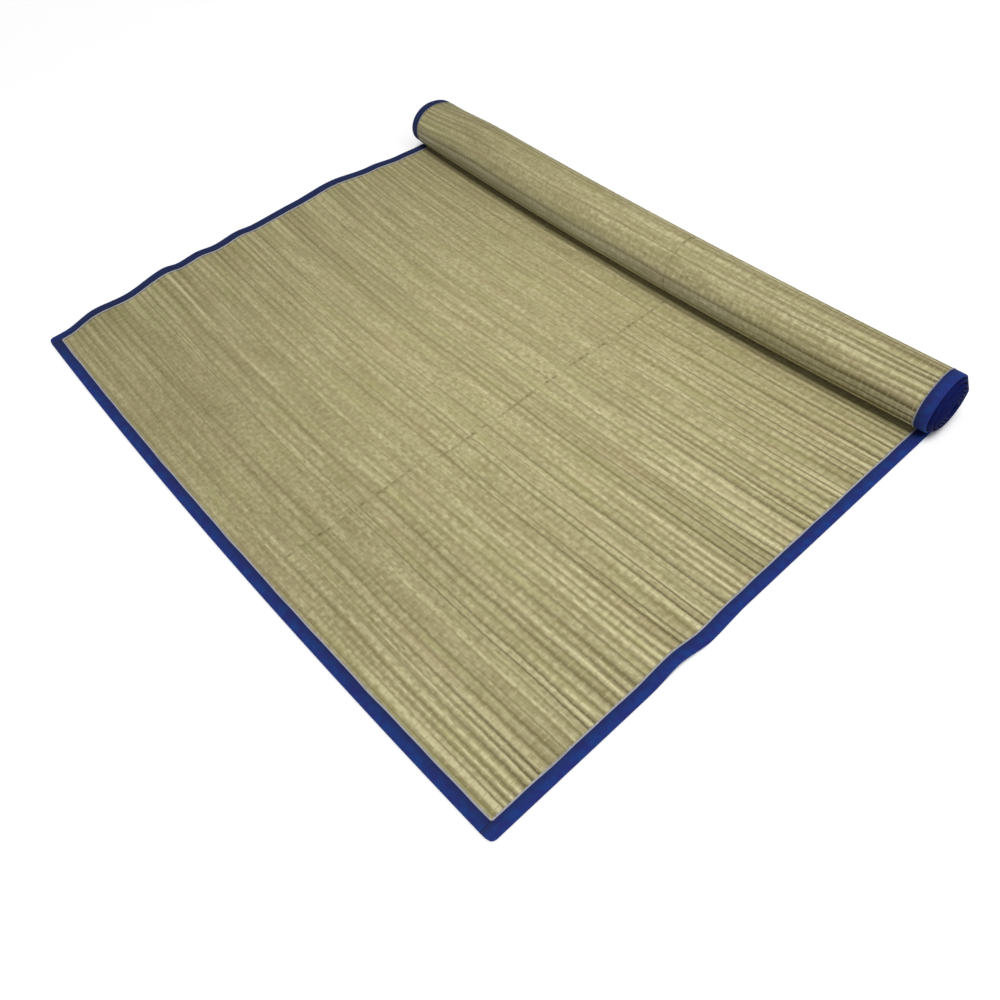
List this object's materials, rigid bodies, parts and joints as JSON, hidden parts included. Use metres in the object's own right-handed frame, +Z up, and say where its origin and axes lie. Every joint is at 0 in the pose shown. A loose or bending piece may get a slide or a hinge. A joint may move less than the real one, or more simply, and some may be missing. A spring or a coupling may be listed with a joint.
{
  "type": "beach mat",
  "caption": "Straw beach mat bound with folded blue tape, its near end lying flat and its far part rolled up on the floor behind it.",
  "frame": {"origin": "middle of the part's footprint, on the floor", "axes": "+Z up, +X across the mat along its straws, +Y from the flat end to the roll"},
  "size_m": [0.915, 0.7572, 0.0811],
  "materials": {
    "straw": "woven dry straw, matt",
    "tape": "blue binding tape, matt"
  },
  "bodies": {
    "root": {"straw_panel": "straw", "tape_left": "tape", "tape_right": "tape", "tape_near_end": "tape", "tape_rolled_end": "tape"}
  },
  "joints": []
}
